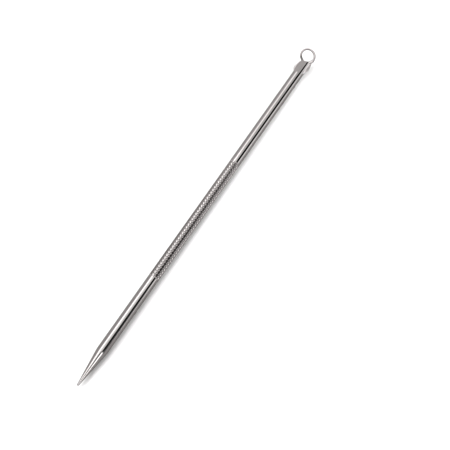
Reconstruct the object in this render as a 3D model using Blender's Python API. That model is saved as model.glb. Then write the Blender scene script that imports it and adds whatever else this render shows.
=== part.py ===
"""Double-ended skin tool: a steel rod with a needle point at one end and a wire loop at the other.

The tool lies on the surface z = 0 with its rod along +X, the point at -X and the loop at +X.
It is made of two pieces of steel:

    needle_rod  one bar, turned to a point, knurled for the fingers, drilled at the other end
                and pressed flat there, so that the drilled hole closes on the loop's two legs
    wire_loop   one wire, bent to a loop, whose two legs are held side by side in the hole

Both pieces are modelled in the rod's own frame: x along the rod from the point, w across it
along the pressed flats, and n square to the flats. The parent empty rolls that frame about the
rod and sets it down on the surface.
"""

import math

import bpy
from mathutils import Vector

MM = 0.001

# Rod, in millimetres from the point
ROD_RADIUS = 1.5
ROD_LENGTH = 115.8
SIDES = 32
STEP = 2 * math.pi / SIDES

# The round shaft has 32 facets. One in each quarter is a little wider than the rest, and the
# tool lies on one of these four, as the real rod lies on the faint bow in its length.
REST_FACET_MIDDLE = 6 * STEP
REST_FACET_HALF_ANGLE = math.radians(8)

# Needle point: a round nose, a straight cone and a soft shoulder onto the shaft
NOSE_RADIUS = 0.28
NOSE_ROWS = 4
SHOULDER_ROWS = 3
CONE_LENGTH = 10.9
SHOULDER_RADIUS = 14.0

# Knurled grip: crossed spiral grooves, two grid columns and two grid rows to each diamond
KNURL_START = 35.0
KNURL_END = 76.5
KNURL_ROWS = 86
KNURL_DEPTH = 0.13
KNURL_RUN_OUT_ROWS = 3

# Crimp: two flats pressed into the rod's end, and the ears that the pressed metal forms
CRIMP_START = 111.0
CRIMP_RUN_OUT = 0.2
CRIMP_LEAD_IN = 1.5
FLAT_HEIGHT_START = 0.95
FLAT_HEIGHT_END = 0.82
FLAT_SHARES = (1.0, 0.72, 0.43, 0.14)
EAR_ROOT_HEIGHT = 0.30
EAR_SHOULDER_HEIGHT = 0.22
EAR_TIP_HEIGHT = 0.10
EAR_SHOULDER_SHARE = 0.9
EAR_REACH = 0.97
EAR_REACH_AT_END = 0.62
EAR_WIDEST = 0.56
CRIMP_ROWS = 10

# Socket: a drilled hole, squeezed to a slot around the legs and flared at its mouth
DRILL_RADIUS = 0.8
DRILL_DEPTH = 8.0
DRILL_POINT_ANGLE = math.radians(59)
SLOT_HALF_HEIGHT = 0.40
SLOT_SPREAD = 0.38
MOUTH_SPREAD = 0.78
MOUTH_DEPTH = 0.5
SQUEEZE_LENGTH = 0.6

# Wire loop
WIRE_RADIUS = 0.35
LEG_OFFSET = 0.38
LEG_DEPTH = 7.2
LEG_BEND_RADIUS = 0.5
LEG_BEND_START = -0.40
LOOP_RADIUS = 2.0
LOOP_CENTRE = 2.11
LOOP_WIDENING = 1.15
LOOP_WIDENING_LENGTH = 1.2
LOOP_TILT = math.radians(22)
LOOP_TILT_LENGTH = 0.8
LOOP_ARC_POINTS = 44
LEG_BEND_POINTS = 6
LEG_STRAIGHT_POINTS = 3
WIRE_BEVEL_RESOLUTION = 4

# Roll about the rod, which brings the middle of a rest facet straight down
ROLL = -2 * STEP

SHARP_EDGE_ANGLE = math.radians(25)

STEEL_COLOUR = (0.60, 0.59, 0.58, 1.0)


def smoothstep(t):
    t = min(max(t, 0.0), 1.0)
    return t * t * (3 - 2 * t)


def blend(a, b, t):
    return a + (b - a) * t


def whole_outline(quarter):
    """Mirrors the points of one quarter, from +w round to +n, into a closed outline."""
    upper = quarter + [(-w, n) for w, n in reversed(quarter)]
    return upper + [(-w, -n) for w, n in upper]


def corner_angles():
    """The corners of one quarter, evenly spaced but for the two beside the rest facet."""
    angles = [(k + 0.5) * STEP for k in range(SIDES // 4)]
    angles[5] = REST_FACET_MIDDLE - REST_FACET_HALF_ANGLE
    angles[6] = REST_FACET_MIDDLE + REST_FACET_HALF_ANGLE
    return angles


def circle(radius):
    """A round outline in the (w, n) plane."""
    return whole_outline([(radius * math.cos(a), radius * math.sin(a)) for a in corner_angles()])


def slot(spread, radius):
    """Two half circles of this radius, their centres pulled apart along w by the spread."""
    return [(w + math.copysign(spread, w), n) for w, n in circle(radius)]


def on_shaft(height):
    """How far out along w the round shaft is at this height."""
    return math.sqrt(ROD_RADIUS**2 - height**2)


def onto_facet(w, n):
    """Draws a point of the first quarter's arc in to the shaft's facet there."""
    angle = math.atan2(n, w)
    corners = [-corner_angles()[0], *corner_angles(), math.pi - corner_angles()[-1]]
    after = next(i for i, corner in enumerate(corners) if corner > angle)
    middle = (corners[after] + corners[after - 1]) / 2
    half = (corners[after] - corners[after - 1]) / 2
    radius = ROD_RADIUS * math.cos(half) / math.cos(angle - middle)
    return radius * math.cos(angle), radius * math.sin(angle)


def crimp_outline(flat_height, ear_reach, pressed):
    """The crimped section, or the round shaft with the same points where it isn't pressed yet."""
    crease = on_shaft(flat_height)
    root_angle = math.asin(EAR_ROOT_HEIGHT / ROD_RADIUS)
    crease_angle = math.asin(flat_height / ROD_RADIUS)
    side_angle = (root_angle + crease_angle) / 2
    quarter = [
        (on_shaft(EAR_TIP_HEIGHT) + ear_reach, EAR_TIP_HEIGHT),
        (
            on_shaft(EAR_SHOULDER_HEIGHT) + EAR_SHOULDER_SHARE * ear_reach,
            EAR_SHOULDER_HEIGHT,
        ),
        (on_shaft(EAR_ROOT_HEIGHT), EAR_ROOT_HEIGHT),
        (ROD_RADIUS * math.cos(side_angle), ROD_RADIUS * math.sin(side_angle)),
    ]
    for share in FLAT_SHARES:
        w = share * crease
        quarter.append((w, flat_height if pressed else on_shaft(w)))
    if not pressed:
        quarter = [onto_facet(w, n) for w, n in quarter]
    return whole_outline(quarter)


def ear_reach_at(t):
    """How far the ears stand out beyond the shaft, t of the way along the crimp."""
    if t < EAR_WIDEST:
        return EAR_REACH * smoothstep(t / EAR_WIDEST)
    return blend(EAR_REACH, EAR_REACH_AT_END, smoothstep((t - EAR_WIDEST) / (1 - EAR_WIDEST)))


def point_rows():
    """The nose, the cone and its shoulder, as rows of (x, outline)."""
    reach = math.hypot(CONE_LENGTH - NOSE_RADIUS, ROD_RADIUS)
    slope = math.atan2(ROD_RADIUS, CONE_LENGTH - NOSE_RADIUS) - math.asin(NOSE_RADIUS / reach)
    rows = []
    for i in range(1, NOSE_ROWS + 1):
        turn = (math.pi / 2 - slope) * i / NOSE_ROWS
        rows.append((NOSE_RADIUS * (1 - math.cos(turn)), circle(NOSE_RADIUS * math.sin(turn))))
    shoulder_x = CONE_LENGTH + SHOULDER_RADIUS * math.tan(slope / 2)
    for i in range(SHOULDER_ROWS + 1):
        turn = slope * (1 - i / SHOULDER_ROWS)
        radius = ROD_RADIUS - SHOULDER_RADIUS * (1 - math.cos(turn))
        rows.append((shoulder_x - SHOULDER_RADIUS * math.sin(turn), circle(radius)))
    return rows


def knurl_rows():
    """The diamond grid: a peak where row and column are both odd or both even, else a groove."""
    rows = []
    corners = circle(1.0)
    for j in range(KNURL_ROWS + 1):
        x = blend(KNURL_START, KNURL_END, j / KNURL_ROWS)
        from_end = min(j, KNURL_ROWS - j)
        depth = KNURL_DEPTH * min(1.0, from_end / KNURL_RUN_OUT_ROWS)
        outline = []
        for k, (w, n) in enumerate(corners):
            radius = ROD_RADIUS - (depth if (j + k) % 2 else 0.0)
            outline.append((radius * w, radius * n))
        rows.append((x, outline))
    return rows


def crimp_rows():
    """The round shaft up to the crimp, the abrupt edge of the flats, and the flats and ears."""
    length = ROD_LENGTH - CRIMP_START
    rows = [
        (CRIMP_START - CRIMP_LEAD_IN, circle(ROD_RADIUS)),
        (CRIMP_START, crimp_outline(FLAT_HEIGHT_START, 0.0, False)),
    ]
    for i in range(CRIMP_ROWS + 1):
        x = blend(CRIMP_START + CRIMP_RUN_OUT, ROD_LENGTH, i / CRIMP_ROWS)
        t = (x - CRIMP_START) / length
        flat_height = blend(FLAT_HEIGHT_START, FLAT_HEIGHT_END, t)
        rows.append((x, crimp_outline(flat_height, ear_reach_at(t), True)))
    return rows


def socket_rows():
    """The flared mouth, the slot around the legs and the round hole behind it, going inwards."""
    return [
        (ROD_LENGTH, slot(MOUTH_SPREAD, SLOT_HALF_HEIGHT)),
        (ROD_LENGTH - MOUTH_DEPTH, slot(SLOT_SPREAD, SLOT_HALF_HEIGHT)),
        (CRIMP_START, slot(SLOT_SPREAD, SLOT_HALF_HEIGHT)),
        (CRIMP_START - SQUEEZE_LENGTH, circle(DRILL_RADIUS)),
        (ROD_LENGTH - DRILL_DEPTH, circle(DRILL_RADIUS)),
    ]


def lofted(rows, first_tip, last_tip, knurl):
    """One closed skin through the rows, with a tip at each end. knurl is its range of rows."""
    vertices = [(x, w, n) for x, outline in rows for w, n in outline]
    faces = []
    for j in range(len(rows) - 1):
        for k in range(SIDES):
            across = (k + 1) % SIDES
            a = j * SIDES + k
            b = j * SIDES + across
            c = (j + 1) * SIDES + across
            d = (j + 1) * SIDES + k
            if j not in knurl:
                faces.append((a, b, c, d))
            elif (j - knurl.start + k) % 2:
                faces += [(a, b, c), (a, c, d)]
            else:
                faces += [(a, b, d), (b, c, d)]
    last_row = (len(rows) - 1) * SIDES
    vertices += [(first_tip, 0, 0), (last_tip, 0, 0)]
    first, last = len(vertices) - 2, len(vertices) - 1
    for k in range(SIDES):
        across = (k + 1) % SIDES
        faces.append((first, across, k))
        faces.append((last, last_row + k, last_row + across))
    return vertices, faces


def make_needle_rod():
    before_knurl = point_rows()
    knurled = knurl_rows()
    rows = before_knurl + knurled + crimp_rows() + socket_rows()
    knurl = range(len(before_knurl), len(before_knurl) + len(knurled) - 1)
    drill_tip = ROD_LENGTH - DRILL_DEPTH - DRILL_RADIUS / math.tan(DRILL_POINT_ANGLE)
    vertices, faces = lofted(rows, 0.0, drill_tip, knurl)
    mesh = bpy.data.meshes.new("needle_rod")
    mesh.from_pydata([Vector(v) * MM for v in vertices], [], faces)
    mesh.shade_smooth()
    mesh.set_sharp_from_angle(angle=SHARP_EDGE_ANGLE)
    return bpy.data.objects.new("needle_rod", mesh)


def half_loop_in_plane():
    """The wire's middle line from a leg's inner end to the loop's far side, as (u, v) points.

    u runs out of the rod from its end face and v is across. The leg bends outwards near the
    mouth, runs straight, and meets the round loop where they share a tangent.
    """
    bend_centre_v = LEG_OFFSET + LEG_BEND_RADIUS
    along = LOOP_CENTRE - LEG_BEND_START
    distance = math.hypot(along, bend_centre_v)
    spread_angle = math.asin((LOOP_RADIUS + LEG_BEND_RADIUS) / distance)
    spread_angle -= math.atan2(bend_centre_v, along)
    points = [
        (blend(-LEG_DEPTH, LEG_BEND_START, i / LEG_STRAIGHT_POINTS), LEG_OFFSET)
        for i in range(LEG_STRAIGHT_POINTS)
    ]
    for i in range(LEG_BEND_POINTS + 1):
        turn = spread_angle * i / LEG_BEND_POINTS
        u = LEG_BEND_START + LEG_BEND_RADIUS * math.sin(turn)
        points.append((u, bend_centre_v - LEG_BEND_RADIUS * math.cos(turn)))
    start = spread_angle + math.pi / 2
    half_arc = LOOP_ARC_POINTS // 2
    for i in range(half_arc + 1):
        turn = start * (1 - i / half_arc)
        points.append(
            (LOOP_CENTRE + LOOP_RADIUS * math.cos(turn), LOOP_RADIUS * math.sin(turn))
        )
    return points


def tilted(u, v):
    """A point of the flat loop, widened across and bent up out of the flats' plane."""
    v *= blend(1.0, LOOP_WIDENING, smoothstep(u / LOOP_WIDENING_LENGTH))
    bend_radius = LOOP_TILT_LENGTH / LOOP_TILT
    turn = LOOP_TILT * min(max(u / LOOP_TILT_LENGTH, 0.0), 1.0)
    beyond = max(u - LOOP_TILT_LENGTH, 0.0)
    x = min(u, 0.0) + bend_radius * math.sin(turn) + beyond * math.cos(LOOP_TILT)
    n = bend_radius * (1 - math.cos(turn)) + beyond * math.sin(LOOP_TILT)
    return ROD_LENGTH + x, v, n


def make_wire_loop():
    half = half_loop_in_plane()
    path = [tilted(u, v) for u, v in half]
    path += [(x, -w, n) for x, w, n in reversed(path[:-1])]
    curve = bpy.data.curves.new("wire_loop", "CURVE")
    curve.dimensions = "3D"
    curve.bevel_depth = WIRE_RADIUS * MM
    curve.bevel_resolution = WIRE_BEVEL_RESOLUTION
    curve.use_fill_caps = True
    spline = curve.splines.new("POLY")
    spline.points.add(len(path) - 1)
    for point, place in zip(spline.points, path):
        point.co = (*(Vector(place) * MM), 1.0)
    return bpy.data.objects.new("wire_loop", curve)


def steel(name, roughness):
    material = bpy.data.materials.new(name)
    material.use_nodes = True
    shader = material.node_tree.nodes["Principled BSDF"]
    shader.inputs["Base Color"].default_value = STEEL_COLOUR
    shader.inputs["Metallic"].default_value = 1.0
    shader.inputs["Roughness"].default_value = roughness
    return material


def lowest_and_highest(objects):
    """The box round the finished objects, in world space."""
    bpy.context.view_layer.update()
    depsgraph = bpy.context.evaluated_depsgraph_get()
    points = []
    for thing in objects:
        evaluated = thing.evaluated_get(depsgraph)
        mesh = evaluated.to_mesh()
        points += [evaluated.matrix_world @ v.co for v in mesh.vertices]
        evaluated.to_mesh_clear()
    low = Vector([min(p[i] for p in points) for i in range(3)])
    high = Vector([max(p[i] for p in points) for i in range(3)])
    return low, high


def main():
    for thing in list(bpy.data.objects):
        bpy.data.objects.remove(thing, do_unlink=True)
    tool = bpy.data.objects.new("skin_tool", None)
    pieces = [make_needle_rod(), make_wire_loop()]
    finishes = [steel("rod_steel", 0.22), steel("loop_steel", 0.18)]
    bpy.context.scene.collection.objects.link(tool)
    for piece, finish in zip(pieces, finishes):
        piece.data.materials.append(finish)
        piece.parent = tool
        bpy.context.scene.collection.objects.link(piece)
    tool.rotation_euler = (ROLL, 0, 0)
    low, high = lowest_and_highest(pieces)
    tool.location = (-(low.x + high.x) / 2, -(low.y + high.y) / 2, -low.z)


main()
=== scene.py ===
"""Looks of the double-ended skin tool: a steel rod with a needle point and a wire loop.

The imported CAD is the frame. Two finer meshes stand for its two nodes: the rod with its rounded
nose, V-groove knurl, pressed flats, ears and flared mouth, and the loop of wire, which is turned
a little about the rod. Both are made in the rod's own frame, in millimetres: x along the rod from
the point, w across it along the pressed flats, and n square to the flats.
"""

import math

import bpy
from mathutils import Matrix, Vector


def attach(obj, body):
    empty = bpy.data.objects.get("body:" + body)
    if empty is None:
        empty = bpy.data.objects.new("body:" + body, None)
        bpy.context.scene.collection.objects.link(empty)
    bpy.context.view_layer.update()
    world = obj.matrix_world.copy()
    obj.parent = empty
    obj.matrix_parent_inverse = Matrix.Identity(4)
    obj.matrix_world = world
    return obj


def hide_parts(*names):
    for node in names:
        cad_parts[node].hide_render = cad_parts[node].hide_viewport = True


MM = 0.001

# Rod, in millimetres from the point
ROD_RADIUS = 1.5
ROD_LENGTH = 115.8
ROLL = math.radians(-22.5)
NOSE_RADIUS = 0.28
CONE_LENGTH = 10.9
SHOULDER_RADIUS = 14.0
PLAIN_START = 14.0
NOSE_ROWS = 12
CONE_ROWS = 16
SHOULDER_ROWS = 10
PLAIN_ROWS = 8
SHAFT_ROWS = 6

# Knurl: a diamond is two cells wide and two cells long, with a flat top
KNURL_START = 35.0
KNURL_END = 76.5
KNURL_CELLS_ALONG = 86
KNURL_CELLS_ROUND = 32
KNURL_DEPTH = 0.10
KNURL_RUN_OUT_CELLS = 1
KNURL_STEPS = 5
PEAK_FLAT = 0.6
KNURL_LEAD_IN = 0.1
KNURL_LEAD_OUT = 0.5
COLUMNS = KNURL_CELLS_ROUND * KNURL_STEPS
QUARTER = COLUMNS // 4

# Crimp: flats, a little shallower than the CAD's, ears and the flared mouth
CRIMP_START = 111.0
CRIMP_LEAD_IN = 0.15
CRIMP_RUN_OUT = 0.2
CRIMP_ROWS = 56
RUN_OUT_ROWS = 4
END_ROWS = 4
FLAT_HEIGHT_START = 1.03
FLAT_HEIGHT_END = 0.98
EAR_ROOT_HEIGHT = 0.30
EAR_HALF_THICKNESS = 0.22
EAR_REACH = 0.97
EAR_REACH_AT_END = 0.62
EAR_WIDEST = 0.56
EAR_COLUMNS = 14
EAR_LIFT = 0.30
EAR_ROOT = math.sqrt(ROD_RADIUS**2 - EAR_ROOT_HEIGHT**2)
EAR_TIP_SHARE = 0.45
EAR_TIP_HEIGHT = 0.86 * EAR_HALF_THICKNESS
EAR_FULLY_GROWN = 0.2
SIDE_COLUMNS = 8
FLAT_COLUMNS = QUARTER - EAR_COLUMNS - SIDE_COLUMNS
COLUMN_SHIFT_START = 100.0
COLUMN_SHIFT_END = 110.0
COLUMN_SHIFT_LEAD_IN = 1.0
COLUMN_SHIFT_ROWS = 24
END_ROUNDING = 0.09
DRILL_RADIUS = 0.8
DRILL_DEPTH = 8.0
DRILL_POINT_ANGLE = math.radians(59)
SLOT_HALF_HEIGHT = 0.40
SLOT_SPREAD = 0.38
MOUTH_SPREAD = 0.78
MOUTH_DEPTH = 0.5
MOUTH_LIP = 0.06
MOUTH_ROWS = 6
SQUEEZE_LENGTH = 0.6

# Painted shade in the metal's colour, from 0 in the open to 1 deep inside the hollows; the creases and the
# start of the flats get some too
LIP_HOLLOW = 0.3
MOUTH_HOLLOW = 0.8
CREASE_SHADE = 0.85
RUN_OUT_CREASE_SHADE = 0.7
RUN_OUT_FLAT_SHADE = 0.6

# Wire loop, in millimetres from the end of the rod
WIRE_RADIUS = 0.35
WIRE_SIDES = 28
LEG_OFFSET = 0.38
LEG_DEPTH = 7.2
LEG_BEND_RADIUS = 0.5
LEG_BEND_START = -0.40
LOOP_RADIUS = 2.0
LOOP_CENTRE = 2.11
LOOP_WIDENING = 1.05
LOOP_TWIST = math.radians(20)
LOOP_LIFT = 0.25
LEG_FLATTENING = 0.5
LOOP_WIDENING_LENGTH = 1.2
LOOP_TILT = math.radians(22)
LOOP_TILT_LENGTH = 0.8
HAMMERED_RAMP_IN = 0.5
HAMMERED_END = 0.9
HAMMERED_RAMP_OUT = 0.9
LEG_POINTS = 8
LEG_BEND_POINTS = 12
BRIDGE_POINTS = 4
LOOP_POINTS = 56

# Colours, and the scales of the steel's grain along and across the rod, per metre
STEEL = (0.61, 0.585, 0.58)
WORN_STEEL = (0.57, 0.545, 0.54)
PAINTED_SHADE_STEEL = (0.42, 0.40, 0.395)
TURNING_SCALE = (14000, 500, 500)
SMUDGE_SCALE = (160, 400, 400)
FLOOR_WHITE = (0.9, 0.9, 0.9)
FLOOR_IN_METAL = (0.25, 0.245, 0.24)
STUDIO_AIR = (1, 0.965, 0.96, 1)

# How far the studio's cards stand from the rod, in metres
CARD_DISTANCE = 0.5


def smoothstep(t):
    t = min(max(t, 0.0), 1.0)
    return t * t * (3 - 2 * t)


def blend(a, b, t):
    return a + (b - a) * t


def spaced(a, b, count):
    """Evenly spaced numbers from a up to, but not including, b."""
    return [blend(a, b, i / count) for i in range(count)]


# ---------------------------------------------------------------- rod


def even_angles():
    """The angles of one quarter's columns, evenly spaced, from the w axis to the n axis."""
    return [(k + 0.5) * math.tau / COLUMNS for k in range(QUARTER)]


def crimp_angles(flat_height):
    """The same columns, moved round the shaft so that the ears, sides and flats get their share."""
    root = math.asin(EAR_ROOT_HEIGHT / ROD_RADIUS)
    crease = math.asin(flat_height / ROD_RADIUS)
    first = root / EAR_COLUMNS / 2
    angles = [blend(first, root, i / EAR_COLUMNS) for i in range(EAR_COLUMNS)]
    angles += spaced(root, crease, SIDE_COLUMNS)
    last = math.pi / 2 - (math.pi / 2 - crease) / FLAT_COLUMNS / 2
    return angles + [blend(crease, last, i / (FLAT_COLUMNS - 1)) for i in range(FLAT_COLUMNS)]


def whole_outline(quarter):
    """Mirrors the points of one quarter, from +w round to +n, into a closed outline."""
    upper = quarter + [(-w, n) for w, n in reversed(quarter)]
    return upper + [(-w, -n) for w, n in upper]


def lifted(w, n):
    """Bends the +w ear up out of the flats' plane."""
    beyond = max(0.0, w - EAR_ROOT)
    return w, n + EAR_LIFT * beyond


def round_outline(radius, angles):
    return whole_outline([(radius * math.cos(a), radius * math.sin(a)) for a in angles])


def ear_reach_at(t):
    """How far the ears stand out beyond the shaft, t of the way along the crimp."""
    if t < EAR_WIDEST:
        return EAR_REACH * smoothstep(t / EAR_WIDEST)
    return blend(EAR_REACH, EAR_REACH_AT_END, smoothstep((t - EAR_WIDEST) / (1 - EAR_WIDEST)))


def crimp_outline(flat_height, reach, pressed):
    """The crimped section: a rounded ear, a piece of the round shaft and a flat.

    pressed goes from 0, the round shaft, to 1, where the flat is wholly cut.
    """
    angles = crimp_angles(flat_height)
    quarter = []
    lip = min(EAR_HALF_THICKNESS, reach)
    tip = ROD_RADIUS + reach
    for i, angle in enumerate(angles[:EAR_COLUMNS]):
        w, n = ROD_RADIUS * math.cos(angle), ROD_RADIUS * math.sin(angle)
        share = (i + 0.5) / EAR_COLUMNS
        if share < EAR_TIP_SHARE:
            turn = share / EAR_TIP_SHARE * math.pi / 2
            ear_w = tip - lip * (1 - math.cos(turn))
            ear_n = EAR_TIP_HEIGHT * math.sin(turn)
        else:
            inward = (share - EAR_TIP_SHARE) / (1 - EAR_TIP_SHARE)
            ear_w = blend(tip - lip, EAR_ROOT, inward)
            ear_n = blend(EAR_TIP_HEIGHT, EAR_ROOT_HEIGHT, inward**2)
        grown = smoothstep(reach / EAR_FULLY_GROWN)
        quarter.append((blend(w, ear_w, grown), blend(n, ear_n, grown)))
    for angle in angles[EAR_COLUMNS:]:
        w, n = ROD_RADIUS * math.cos(angle), ROD_RADIUS * math.sin(angle)
        quarter.append((w, min(n, blend(n, flat_height, pressed))))
    return [lifted(w, n) for w, n in whole_outline(quarter)]


def shrunk(outline, amount):
    """The outline drawn in towards the middle by about this amount, for a rounded end."""
    moved = []
    for w, n in outline:
        size = math.hypot(w, n)
        moved.append((w * (1 - amount / size), n * (1 - amount / size)))
    return moved


def slot_outline(spread, radius, angles):
    """Two half circles of this radius, their centres this spread to either side of the axis."""
    quarter = [(radius * math.cos(a) + spread, radius * math.sin(a)) for a in angles]
    return whole_outline(quarter)


def point_rows(angles):
    """The nose, the cone and its shoulder, as (x, outline, hollow) rows."""
    reach = math.hypot(CONE_LENGTH - NOSE_RADIUS, ROD_RADIUS)
    slope = math.atan2(ROD_RADIUS, CONE_LENGTH - NOSE_RADIUS) - math.asin(NOSE_RADIUS / reach)
    rows = []
    for i in range(1, NOSE_ROWS + 1):
        turn = (math.pi / 2 - slope) * i / NOSE_ROWS
        radius = NOSE_RADIUS * math.sin(turn)
        rows.append((NOSE_RADIUS * (1 - math.cos(turn)), round_outline(radius, angles), 0))
    nose_x, nose_r = rows[-1][0], NOSE_RADIUS * math.cos(slope)
    shoulder_x = CONE_LENGTH + SHOULDER_RADIUS * math.tan(slope / 2)
    cone_x = shoulder_x - SHOULDER_RADIUS * math.sin(slope)
    cone_r = ROD_RADIUS - SHOULDER_RADIUS * (1 - math.cos(slope))
    for i in range(1, CONE_ROWS):
        t = i / CONE_ROWS
        rows.append((blend(nose_x, cone_x, t), round_outline(blend(nose_r, cone_r, t), angles), 0))
    for i in range(SHOULDER_ROWS + 1):
        turn = slope * (1 - i / SHOULDER_ROWS)
        radius = ROD_RADIUS - SHOULDER_RADIUS * (1 - math.cos(turn))
        x = shoulder_x - SHOULDER_RADIUS * math.sin(turn)
        rows.append((x, round_outline(radius, angles), 0))
    return rows


def zigzag(t):
    """0 at even whole numbers and 1 at odd ones, straight between them."""
    return abs((t + 1) % 2 - 1)


def knurl_rows():
    """Flat-topped diamonds between two sets of V grooves that wind round the rod in opposite directions."""
    rows = []
    steps = KNURL_CELLS_ALONG * KNURL_STEPS
    for j in range(steps + 1):
        along = j / KNURL_STEPS
        x = blend(KNURL_START, KNURL_END, j / steps)
        from_end = min(along, KNURL_CELLS_ALONG - along)
        cut = min(1.0, from_end / KNURL_RUN_OUT_CELLS)
        outline, hollow_shade = [], []
        for k in range(COLUMNS):
            around = (k + 0.5) / KNURL_STEPS - 0.5
            groove = max(zigzag(along + around), zigzag(along - around))
            groove = max(0.0, (groove - PEAK_FLAT) / (1 - PEAK_FLAT))
            radius = ROD_RADIUS - KNURL_DEPTH * cut * groove
            angle = (k + 0.5) * math.tau / COLUMNS
            outline.append((radius * math.cos(angle), radius * math.sin(angle)))
            # the groove's depth is also the painted shade in the grooves
            hollow_shade.append(cut * groove)
        rows.append((x, outline, hollow_shade))
    return rows


def shaft_rows(angles):
    """The plain shaft behind the knurl, its columns moving to where the crimp needs them."""
    plain = spaced(KNURL_END + KNURL_LEAD_OUT, COLUMN_SHIFT_START - COLUMN_SHIFT_LEAD_IN, SHAFT_ROWS)
    rows = [(x, round_outline(ROD_RADIUS, angles), 0) for x in plain]
    crimped = crimp_angles(FLAT_HEIGHT_START)
    for i in range(COLUMN_SHIFT_ROWS + 1):
        x = blend(COLUMN_SHIFT_START, CRIMP_START - CRIMP_LEAD_IN, i / COLUMN_SHIFT_ROWS)
        t = smoothstep((x - COLUMN_SHIFT_START) / (COLUMN_SHIFT_END - COLUMN_SHIFT_START))
        moved = [blend(a, b, t) for a, b in zip(angles, crimped)]
        rows.append((x, round_outline(ROD_RADIUS, moved), 0))
    return rows


def crimp_shade(shade, across=0.0):
    """How much painted shade one row gets: shade at the flats' creases and the ears' roots, across on the
    flats.
    """
    crease = EAR_COLUMNS + SIDE_COLUMNS
    quarter = [0.0] * crease + [across] * FLAT_COLUMNS
    for column in (EAR_COLUMNS - 1, crease, crease + 1):
        quarter[column] = shade
    upper = quarter + quarter[::-1]
    return upper + upper


def crimp_rows():
    """The abrupt edge of the flats, the flats and ears, and the rounded end."""
    length = ROD_LENGTH - CRIMP_START
    rows = []
    for i in range(RUN_OUT_ROWS + 1):
        x = CRIMP_START + CRIMP_RUN_OUT * i / RUN_OUT_ROWS
        pressed = smoothstep(i / RUN_OUT_ROWS)
        # painted shade along the creases, and across the flats where they begin
        row_shade = crimp_shade(RUN_OUT_CREASE_SHADE, RUN_OUT_FLAT_SHADE * pressed)
        rows.append((x, crimp_outline(FLAT_HEIGHT_START, 0.0, pressed), row_shade))
    last_x = ROD_LENGTH - END_ROUNDING
    for i in range(1, CRIMP_ROWS + 1):
        x = blend(CRIMP_START + CRIMP_RUN_OUT, last_x, i / CRIMP_ROWS)
        t = (x - CRIMP_START) / length
        flat_height = blend(FLAT_HEIGHT_START, FLAT_HEIGHT_END, t)
        outline = crimp_outline(flat_height, ear_reach_at(t), 1)
        # painted shade along the flats' creases and the ears' roots
        rows.append((x, outline, crimp_shade(CREASE_SHADE)))
    outline = crimp_outline(FLAT_HEIGHT_END, ear_reach_at((last_x - CRIMP_START) / length), 1)
    for i in range(1, END_ROWS + 1):
        turn = math.pi / 2 * i / END_ROWS
        drawn_in = END_ROUNDING * (1 - math.cos(turn))
        x = last_x + END_ROUNDING * math.sin(turn)
        rows.append((x, shrunk(outline, drawn_in), 0))
    return rows


def socket_rows(angles):
    """The mouth with its fine lip, the slot round the legs and the round hole behind, going inwards."""
    rows = []
    for i in range(END_ROWS + 1):
        below = MOUTH_LIP * (1 - math.sin(math.pi / 2 * i / END_ROWS))
        outline = slot_outline(MOUTH_SPREAD + below, SLOT_HALF_HEIGHT, angles)
        # the third value of each row is painted shade, darker deeper into the mouth and hole
        rows.append((ROD_LENGTH - below, outline, LIP_HOLLOW))
    for i in range(1, MOUTH_ROWS + 1):
        x = blend(ROD_LENGTH - MOUTH_LIP, ROD_LENGTH - MOUTH_DEPTH, i / MOUTH_ROWS)
        spread = blend(MOUTH_SPREAD, SLOT_SPREAD, smoothstep(i / MOUTH_ROWS))
        rows.append((x, slot_outline(spread, SLOT_HALF_HEIGHT, angles), MOUTH_HOLLOW))
    rows.append((CRIMP_START, slot_outline(SLOT_SPREAD, SLOT_HALF_HEIGHT, angles), 1))
    for x in (CRIMP_START - SQUEEZE_LENGTH, ROD_LENGTH - DRILL_DEPTH):
        rows.append((x, round_outline(DRILL_RADIUS, angles), 1))
    return rows


def deeper_diagonal(hollow_shade, a, c, b, d):
    """Whether a face is better split from a to c than from b to d, so that grooves run through."""
    difference = abs(hollow_shade[a] - hollow_shade[c]) - abs(hollow_shade[b] - hollow_shade[d])
    if abs(difference) > 0.001:
        return difference < 0
    return hollow_shade[a] + hollow_shade[c] > hollow_shade[b] + hollow_shade[d]


def lofted(rows, first_tip, last_tip, knurl):
    """One closed skin through the rows, with a tip at each end. knurl is its range of rows."""
    vertices = [(x, w, n) for x, outline, _ in rows for w, n in outline]
    hollow_shade = []
    for _, _, value in rows:
        hollow_shade += value if isinstance(value, list) else [value] * COLUMNS
    faces = []
    for j in range(len(rows) - 1):
        for k in range(COLUMNS):
            across = (k + 1) % COLUMNS
            a = j * COLUMNS + k
            b = j * COLUMNS + across
            c = (j + 1) * COLUMNS + across
            d = (j + 1) * COLUMNS + k
            if j not in knurl:
                faces.append((a, b, c, d))
            elif deeper_diagonal(hollow_shade, a, c, b, d):
                faces += [(a, b, c), (a, c, d)]
            else:
                faces += [(a, b, d), (b, c, d)]
    last_row = (len(rows) - 1) * COLUMNS
    vertices += [(first_tip, 0, 0), (last_tip, 0, 0)]
    # painted shade: none at the point, full at the bottom of the drilled hole
    hollow_shade += [0, 1]
    first, last = len(vertices) - 2, len(vertices) - 1
    for k in range(COLUMNS):
        across = (k + 1) % COLUMNS
        faces.append((first, across, k))
        faces.append((last, last_row + k, last_row + across))
    return vertices, faces, hollow_shade


def placed(points, rod_to_world):
    return [rod_to_world @ (Vector(p) * MM) for p in points]


def mesh_object(name, vertices, faces, hollow_shade, crease):
    """A smooth-shaded object, sharp only at edges steeper than the crease angle."""
    mesh = bpy.data.meshes.new(name)
    mesh.from_pydata(vertices, [], faces)
    mesh.shade_smooth()
    mesh.set_sharp_from_angle(angle=math.radians(crease))
    # the painted shade for each point, which the steel material reads
    layer = mesh.attributes.new("hollow_shade", "FLOAT", "POINT")
    layer.data.foreach_set("value", hollow_shade)
    thing = bpy.data.objects.new(name, mesh)
    bpy.context.scene.collection.objects.link(thing)
    return thing


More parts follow.
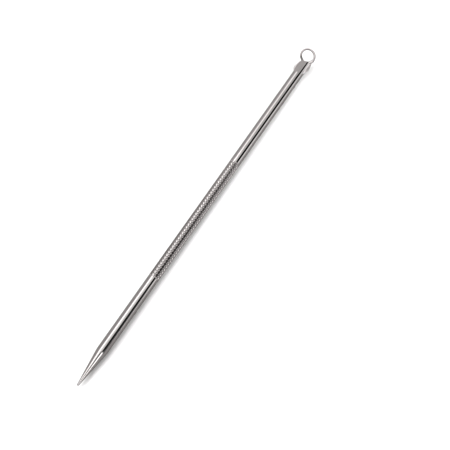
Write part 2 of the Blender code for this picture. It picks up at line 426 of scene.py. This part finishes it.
def make_rod(rod_to_world):
    """One skin from the point along the outside to the end, and back into the drilled hole."""
    angles = even_angles()
    before = point_rows(angles)
    plain = spaced(PLAIN_START, KNURL_START - KNURL_LEAD_IN, PLAIN_ROWS)
    before += [(x, round_outline(ROD_RADIUS, angles), 0) for x in plain]
    knurled = knurl_rows()
    rows = before + knurled + shaft_rows(angles) + crimp_rows()
    rows += socket_rows(crimp_angles(FLAT_HEIGHT_START))
    knurl = range(len(before), len(before) + len(knurled) - 1)
    drill_tip = ROD_LENGTH - DRILL_DEPTH - DRILL_RADIUS / math.tan(DRILL_POINT_ANGLE)
    vertices, faces, hollow_shade = lofted(rows, 0.0, drill_tip, knurl)
    return mesh_object("rod_body", placed(vertices, rod_to_world), faces, hollow_shade, crease=20)


# ---------------------------------------------------------------- loop


def half_loop_in_plane():
    """The wire's middle line from a leg's inner end to the loop's far side, as (u, v) points."""
    bend_centre_v = LEG_OFFSET + LEG_BEND_RADIUS
    along = LOOP_CENTRE - LEG_BEND_START
    distance = math.hypot(along, bend_centre_v)
    spread_angle = math.asin((LOOP_RADIUS + LEG_BEND_RADIUS) / distance)
    spread_angle -= math.atan2(bend_centre_v, along)
    points = [(u, LEG_OFFSET) for u in spaced(-LEG_DEPTH, LEG_BEND_START, LEG_POINTS)]
    for i in range(LEG_BEND_POINTS + 1):
        turn = spread_angle * i / LEG_BEND_POINTS
        u = LEG_BEND_START + LEG_BEND_RADIUS * math.sin(turn)
        points.append((u, bend_centre_v - LEG_BEND_RADIUS * math.cos(turn)))
    start = spread_angle + math.pi / 2
    u, v = points[-1]
    arc_u = LOOP_CENTRE + LOOP_RADIUS * math.cos(start)
    arc_v = LOOP_RADIUS * math.sin(start)
    for i in range(1, BRIDGE_POINTS):
        points.append((blend(u, arc_u, i / BRIDGE_POINTS), blend(v, arc_v, i / BRIDGE_POINTS)))
    for i in range(LOOP_POINTS + 1):
        turn = start * (1 - i / LOOP_POINTS)
        arc_u = LOOP_CENTRE + LOOP_RADIUS * math.cos(turn)
        points.append((arc_u, LOOP_RADIUS * math.sin(turn)))
    return points


def tilted(u, v):
    """A point of the flat loop, widened across and bent up out of the flats' plane."""
    v *= blend(1.0, LOOP_WIDENING, smoothstep(u / LOOP_WIDENING_LENGTH))
    bend_radius = LOOP_TILT_LENGTH / LOOP_TILT
    turn = LOOP_TILT * min(max(u / LOOP_TILT_LENGTH, 0.0), 1.0)
    beyond = max(u - LOOP_TILT_LENGTH, 0.0)
    x = min(u, 0.0) + bend_radius * math.sin(turn) + beyond * math.cos(LOOP_TILT)
    n = bend_radius * (1 - math.cos(turn)) + beyond * math.sin(LOOP_TILT)
    return Vector((ROD_LENGTH + x, v, n))


def twisted(place):
    """The same point once the loop is lifted, and turned about the rod's direction round its middle."""
    grown = smoothstep((place.x - ROD_LENGTH) / LOOP_WIDENING_LENGTH)
    middle = max(place.x - ROD_LENGTH, 0.0) * math.tan(LOOP_TILT)
    turn = LOOP_TWIST * grown
    across, height = place.y, place.z - middle
    w = across * math.cos(turn) - height * math.sin(turn)
    n = across * math.sin(turn) + height * math.cos(turn)
    return Vector((place.x, w, middle + LOOP_LIFT * grown + n))


def wire_half_width(place):
    """Half the wire's width in the loop's plane: the -w leg is hammered wider beside the rod."""
    beyond = place.x - ROD_LENGTH
    hammered = smoothstep(beyond / HAMMERED_RAMP_IN)
    hammered *= 1 - smoothstep((beyond - HAMMERED_END) / HAMMERED_RAMP_OUT)
    if place.y < 0:
        return WIRE_RADIUS * (1 + LEG_FLATTENING * hammered)
    return WIRE_RADIUS


def make_loop(rod_to_world):
    """Sweeps the wire's section along its middle line, from one leg's inner end to the other's."""
    half = half_loop_in_plane()
    flat_path = [tilted(u, v) for u, v in half]
    flat_path += [Vector((x, -w, n)) for x, w, n in reversed(flat_path[:-1])]
    path = [twisted(place) for place in flat_path]
    vertices, faces = [], []
    for i, place in enumerate(path):
        tangent = (path[min(i + 1, len(path) - 1)] - path[max(i - 1, 0)]).normalized()
        lift = LOOP_TILT * smoothstep((place.x - ROD_LENGTH) / LOOP_TILT_LENGTH)
        upward = Vector((-math.sin(lift), 0, math.cos(lift)))
        outward = upward.cross(tangent).normalized()
        upward = tangent.cross(outward)
        for k in range(WIRE_SIDES):
            turn = math.tau * k / WIRE_SIDES
            sideways = outward * (wire_half_width(place) * math.cos(turn))
            vertices.append(place + sideways + upward * (WIRE_RADIUS * math.sin(turn)))
    for i in range(len(path) - 1):
        for k in range(WIRE_SIDES):
            across = (k + 1) % WIRE_SIDES
            a, b = i * WIRE_SIDES + k, i * WIRE_SIDES + across
            faces.append((a, b, b + WIRE_SIDES, a + WIRE_SIDES))
    last_row = (len(path) - 1) * WIRE_SIDES
    faces.append(tuple(reversed(range(WIRE_SIDES))))
    faces.append(tuple(last_row + k for k in range(WIRE_SIDES)))
    hollow_shade = [0.0] * len(vertices)
    return mesh_object("loop_wire", placed(vertices, rod_to_world), faces, hollow_shade, crease=40)


# ---------------------------------------------------------------- materials


class Nodes:
    """Adds nodes to one material and links them."""

    def __init__(self, name):
        self.material = bpy.data.materials.new(name)
        self.material.use_nodes = True
        self.tree = self.material.node_tree
        self.shader = self.tree.nodes["Principled BSDF"]

    def add(self, kind, values=(), **settings):
        node = self.tree.nodes.new(kind)
        for key, value in settings.items():
            setattr(node, key, value)
        for key, value in dict(values).items():
            if isinstance(value, bpy.types.NodeSocket):
                self.tree.links.new(value, node.inputs[key])
            else:
                node.inputs[key].default_value = value
        return node

    def link(self, socket, key):
        self.tree.links.new(socket, self.shader.inputs[key])


def stretched_noise(nodes, where, scale):
    """Noise whose grains are stretched by a different scale along each axis."""
    mapping = nodes.add("ShaderNodeMapping", {"Vector": where, "Scale": scale})
    noise = nodes.add(
        "ShaderNodeTexNoise",
        {"Vector": mapping.outputs["Vector"], "Scale": 1.0, "Detail": 3.0, "Roughness": 0.55},
    )
    return noise.outputs["Fac"]


def ranged(nodes, value, low, high, to_low, to_high):
    """Maps the range from low to high onto the range from to_low to to_high."""
    node = nodes.add(
        "ShaderNodeMapRange",
        {"Value": value, "From Min": low, "From Max": high, "To Min": to_low, "To Max": to_high},
    )
    return node.outputs["Result"]


def mixed_colour(nodes, factor, a, b):
    """Colour a where the factor is 0 and b where it is 1, each a tuple or another node's output."""
    node = nodes.add("ShaderNodeMix", data_type="RGBA")
    nodes.tree.links.new(factor, node.inputs[0])
    for socket, value in ((node.inputs[6], a), (node.inputs[7], b)):
        if isinstance(value, bpy.types.NodeSocket):
            nodes.tree.links.new(value, socket)
        else:
            socket.default_value = (*value, 1.0)
    return node.outputs[2]


def steel_material(name, roughness):
    """Polished steel with fine lines round the rod, dull smudges, and painted shade in its hollows and
    creases.
    """
    nodes = Nodes(name)
    where = nodes.add("ShaderNodeTexCoord").outputs["Object"]
    turning = stretched_noise(nodes, where, TURNING_SCALE)
    smudge = stretched_noise(nodes, where, SMUDGE_SCALE)
    hollow_shade = nodes.add("ShaderNodeAttribute", attribute_name="hollow_shade").outputs["Fac"]
    worn = mixed_colour(nodes, ranged(nodes, smudge, 0.3, 0.7, 0, 1), STEEL, WORN_STEEL)
    shade_factor = ranged(nodes, hollow_shade, 0.05, 0.9, 0.0, 1.0)
    # painted shade: darker steel in the grooves, creases, mouth and drilled hole
    colour = mixed_colour(nodes, shade_factor, worn, PAINTED_SHADE_STEEL)
    nodes.link(colour, "Base Color")
    nodes.shader.inputs["Metallic"].default_value = 1.0
    fine = ranged(nodes, turning, 0.3, 0.7, roughness - 0.03, roughness + 0.05)
    nodes.link(fine, "Roughness")
    bump = nodes.add("ShaderNodeBump", {"Strength": 0.12, "Distance": 0.00001, "Height": turning})
    nodes.link(bump.outputs["Normal"], "Normal")
    return nodes.material


def floor_material():
    """A matt white sheet, which polished metal sees as grey."""
    nodes = Nodes("pale_floor")
    mirrored = nodes.add("ShaderNodeLightPath").outputs["Is Glossy Ray"]
    colour = mixed_colour(nodes, mirrored, FLOOR_WHITE, FLOOR_IN_METAL)
    nodes.link(colour, "Base Color")
    nodes.shader.inputs["Roughness"].default_value = 0.9
    nodes.shader.inputs["Specular IOR Level"].default_value = 0.0
    return nodes.material


# ---------------------------------------------------------------- studio


def look_at(thing, place, target):
    thing.location = place
    thing.rotation_euler = (Vector(target) - Vector(place)).to_track_quat("-Z", "Y").to_euler()


def make_camera():
    azimuth, elevation = math.radians(58.31), math.radians(63)
    level = Vector((math.sin(azimuth), math.cos(azimuth), 0))
    forward = level * math.cos(elevation) - Vector((0, 0, math.sin(elevation)))
    target = Vector((-1.3, -8.07, 1.5)) * MM
    camera = bpy.data.objects.new("camera", bpy.data.cameras.new("camera"))
    camera.data.lens = 100.4
    distance = 0.34
    look_at(camera, target - forward * distance, target)
    bpy.context.scene.collection.objects.link(camera)
    bpy.context.scene.camera = camera


def make_floor():
    mesh = bpy.data.meshes.new("floor")
    half = 3.0
    corners = [(-half, -half, 0), (half, -half, 0), (half, half, 0), (-half, half, 0)]
    mesh.from_pydata(corners, [], [(0, 1, 2, 3)])
    floor = bpy.data.objects.new("floor", mesh)
    mesh.materials.append(floor_material())
    bpy.context.scene.collection.objects.link(floor)


def make_softbox(name, lean, distance, span, along, radiance, mirrored=True):
    """A rectangular light over the rod, parallel to it, that leans towards +Y by this many degrees.

    span is its width in degrees as the rod sees it, and along is its two ends along X, in metres.
    Polished metal shows it only if it is mirrored.
    """
    light = bpy.data.lights.new(name, "AREA")
    light.shape = "RECTANGLE"
    light.size = along[1] - along[0]
    light.size_y = 2 * distance * math.tan(math.radians(span / 2))
    light.energy = radiance * math.pi * light.size * light.size_y
    lamp = bpy.data.objects.new(name, light)
    angle = math.radians(lean)
    middle = (along[0] + along[1]) / 2
    lamp.location = (middle, distance * math.sin(angle), distance * math.cos(angle))
    lamp.rotation_euler = (-angle, 0, 0)
    lamp.visible_camera = False
    lamp.visible_glossy = mirrored
    bpy.context.scene.collection.objects.link(lamp)


def make_end_lamp():
    """A small lamp low beside the loop end, which lightens the shadow there."""
    light = bpy.data.lights.new("end_lamp", "AREA")
    light.size = 0.04
    light.energy = 0.16
    lamp = bpy.data.objects.new("end_lamp", light)
    look_at(lamp, (0.15, -0.05, 0.06), (0.055, 0, 0))
    lamp.visible_camera = False
    lamp.visible_glossy = False
    bpy.context.scene.collection.objects.link(lamp)


def make_card(name, corners, grey, shades=True):
    """A matt card of this grey, whose corners are (x, degrees towards -Y) at one distance.

    One that doesn't shade is seen in polished metal and leaves the floor's light alone.
    """
    places = []
    for x, lean in corners:
        angle = math.radians(lean)
        places.append((x, -CARD_DISTANCE * math.sin(angle), CARD_DISTANCE * math.cos(angle)))
    mesh = bpy.data.meshes.new(name)
    mesh.from_pydata(places, [], [(0, 1, 2, 3)])
    nodes = Nodes(name)
    nodes.shader.inputs["Base Color"].default_value = (grey, grey, grey, 1)
    nodes.shader.inputs["Roughness"].default_value = 1.0
    nodes.shader.inputs["Specular IOR Level"].default_value = 0.0
    mesh.materials.append(nodes.material)
    card = bpy.data.objects.new(name, mesh)
    card.visible_camera = False
    card.visible_diffuse = shades
    card.visible_shadow = shades
    bpy.context.scene.collection.objects.link(card)


def make_studio():
    """Lights for the bands that run along the rod, and dark cards for the lines between them."""
    world = bpy.data.worlds.new("studio")
    world.use_nodes = True
    background = world.node_tree.nodes["Background"]
    background.inputs["Color"].default_value = STUDIO_AIR
    background.inputs["Strength"].default_value = 0.45
    bpy.context.scene.world = world
    make_softbox("key", 33, 0.56, 44, (-0.8, -0.06), 5.2, mirrored=False)
    make_softbox("near_fill", 24, 0.52, 30, (-0.12, 0.27), 1.7)
    make_softbox("far_fill", 26, 0.52, 30, (0.27, 0.65), 1.1)
    make_softbox("near_middle", -6, 0.52, 26, (-0.05, 0.27), 0.55)
    make_softbox("far_middle", -8, 0.52, 28, (0.27, 0.65), 0.22)
    make_softbox("flats_fill", 60, 0.5, 18, (0.16, 0.6), 0.15)
    make_softbox("side_fill", -77, 0.5, 14, (0.1, 0.7), 1.0)
    make_softbox("point_fill", -44, 0.5, 22, (-0.3, -0.012), 2.2)
    make_end_lamp()
    make_card("black_card", ((-0.01, 23), (-0.01, 51), (0.6, 77), (0.6, 28)), 0.005)
    make_card("grey_card", ((-0.01, 51), (-0.01, 78), (0.13, 76), (0.13, 56)), 0.1)
    make_card("lens_card", ((-0.6, -80), (-0.6, -2), (-0.13, -2), (-0.13, -80)), 0.01, shades=False)
    make_card("point_card", ((-0.09, 8), (-0.09, 28), (-0.01, 28), (-0.01, 8)), 0.01)
    bpy.context.scene.view_settings.view_transform = "Standard"


# ---------------------------------------------------------------- the scene

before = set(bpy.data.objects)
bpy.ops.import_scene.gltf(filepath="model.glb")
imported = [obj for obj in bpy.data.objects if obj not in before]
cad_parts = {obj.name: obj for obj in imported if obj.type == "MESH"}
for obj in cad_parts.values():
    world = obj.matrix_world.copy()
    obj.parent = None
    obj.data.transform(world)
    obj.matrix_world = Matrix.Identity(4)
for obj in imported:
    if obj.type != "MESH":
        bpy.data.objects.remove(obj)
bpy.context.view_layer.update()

cad_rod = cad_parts["needle_rod"]
tip = min((v.co for v in cad_rod.data.vertices), key=lambda p: p.x)
rod_to_world = Matrix.Translation(tip) @ Matrix.Rotation(ROLL, 4, "X")

make_camera()
make_floor()
make_studio()

rod = make_rod(rod_to_world)
rod.data.materials.append(steel_material("turned_steel", 0.09))
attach(rod, "root")
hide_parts("needle_rod")

loop = make_loop(rod_to_world)
loop.data.materials.append(steel_material("drawn_steel", 0.10))
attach(loop, "root")
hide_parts("wire_loop")
